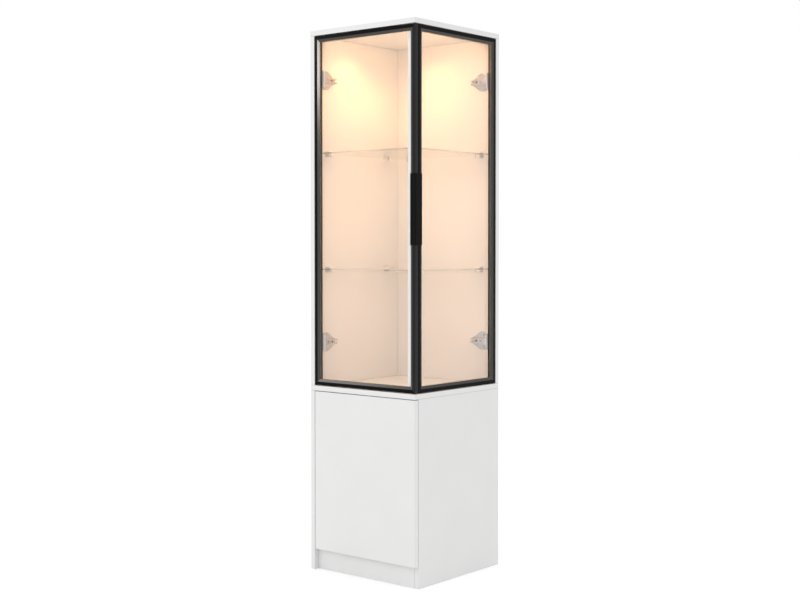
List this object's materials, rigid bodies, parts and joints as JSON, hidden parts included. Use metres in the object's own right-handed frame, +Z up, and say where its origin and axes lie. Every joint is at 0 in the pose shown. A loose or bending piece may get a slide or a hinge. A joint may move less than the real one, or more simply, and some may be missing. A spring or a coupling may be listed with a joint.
{
  "type": "corner display cabinet",
  "caption": "Tall corner display cabinet: lit glass upper with doors on two sides, glass shelves and a handle round the corner, over a closed cupboard.",
  "frame": {"origin": "on the floor, under the middle of the whole object's box with the handle counted", "axes": "+Z up, +Y towards the back wall, +X towards the side with the second glass door"},
  "size_m": [0.414, 0.414, 1.6],
  "materials": {
    "white_board": "white melamine on particle board, satin",
    "zinc_fitting": "zinc plated, dull",
    "dowel_wood": "raw fluted beech",
    "black_aluminium": "black anodised, satin",
    "cleat_aluminium": "mill finish",
    "door_glass": "clear tempered glass",
    "shelf_glass": "clear glass with polished edges",
    "glazing_rubber": "black, matt",
    "seal_plastic": "milky soft strip",
    "handle_black": "black powder coat",
    "hinge_chrome": "nickel plated steel",
    "screw_steel": "nickel plated",
    "led_board": "white circuit strip",
    "led_diffuser": "opal cover, warm white when lit",
    "fitting_plastic": "moulded, light grey",
    "lead_plastic": "white lead",
    "bumper_rubber": "clear soft dot"
  },
  "bodies": {
    "carcass": {"top_panel": "white_board", "mid_panel": "white_board", "upper_left_panel": "white_board", "upper_back_panel": "white_board", "base_left_panel": "white_board", "base_right_panel": "white_board", "base_back_panel": "white_board", "base_bottom_panel": "white_board", "plinth_board": "white_board", "cam_locks": "zinc_fitting", "cam_bolts": "zinc_fitting", "wood_dowels": "dowel_wood", "cable_grommet": "fitting_plastic", "upper_glass_shelf": "shelf_glass", "lower_glass_shelf": "shelf_glass", "shelf_clips": "hinge_chrome", "shelf_clip_screws": "screw_steel", "led_channels": "cleat_aluminium", "led_strips": "led_board", "led_diffusers": "led_diffuser", "led_end_caps": "fitting_plastic", "led_link_lead": "lead_plastic", "door_catches": "fitting_plastic", "latch_housing": "fitting_plastic", "hinge_mounting_plates": "hinge_chrome", "hinge_arms": "hinge_chrome", "hinge_plate_screws": "screw_steel", "hinge_arm_screws": "screw_steel"},
    "left_glass_door": {"left_door_hinge_stile": "black_aluminium", "left_door_meeting_stile": "black_aluminium", "left_door_top_rail": "black_aluminium", "left_door_bottom_rail": "black_aluminium", "left_door_corner_cleats": "cleat_aluminium", "left_door_pane": "door_glass", "left_door_glazing_bead": "glazing_rubber", "left_door_seal_strip": "seal_plastic", "left_door_catch_plate": "screw_steel", "corner_handle": "handle_black", "handle_screws": "zinc_fitting", "left_hinge_brackets": "hinge_chrome", "left_hinge_pins": "screw_steel", "left_bracket_screws": "screw_steel"},
    "right_glass_door": {"right_door_hinge_stile": "black_aluminium", "right_door_meeting_stile": "black_aluminium", "right_door_top_rail": "black_aluminium", "right_door_bottom_rail": "black_aluminium", "right_door_corner_cleats": "cleat_aluminium", "right_door_pane": "door_glass", "right_door_glazing_bead": "glazing_rubber", "right_door_catch_plate": "screw_steel", "right_hinge_brackets": "hinge_chrome", "right_hinge_pins": "screw_steel", "right_bracket_screws": "screw_steel"},
    "base_door": {"base_door_panel": "white_board", "base_door_bumpers": "bumper_rubber", "latch_strike": "screw_steel", "base_hinge_brackets": "hinge_chrome", "base_hinge_pins": "screw_steel", "base_bracket_screws": "screw_steel"},
    "latch_plunger": {"latch_plunger": "fitting_plastic"}
  },
  "joints": [
    {"name": "left_glass_door_swing", "type": "hinge", "parent": "carcass", "child": "left_glass_door", "pos_m": [-0.181, -0.1875, 1.0675], "axis": [0, 0, -1], "range_deg": [0, 95]},
    {"name": "right_glass_door_swing", "type": "hinge", "parent": "carcass", "child": "right_glass_door", "pos_m": [0.1875, 0.181, 1.0675], "axis": [0, 0, 1], "range_deg": [0, 95]},
    {"name": "base_door_swing", "type": "hinge", "parent": "carcass", "child": "base_door", "pos_m": [-0.181, -0.1875, 0.2975], "axis": [0, 0, -1], "range_deg": [0, 95]},
    {"name": "latch_press", "type": "slide", "parent": "carcass", "child": "latch_plunger", "axis": [0, 1, 0], "range_m": [0, 0.003], "stiffness_N_per_m": 400}
  ]
}
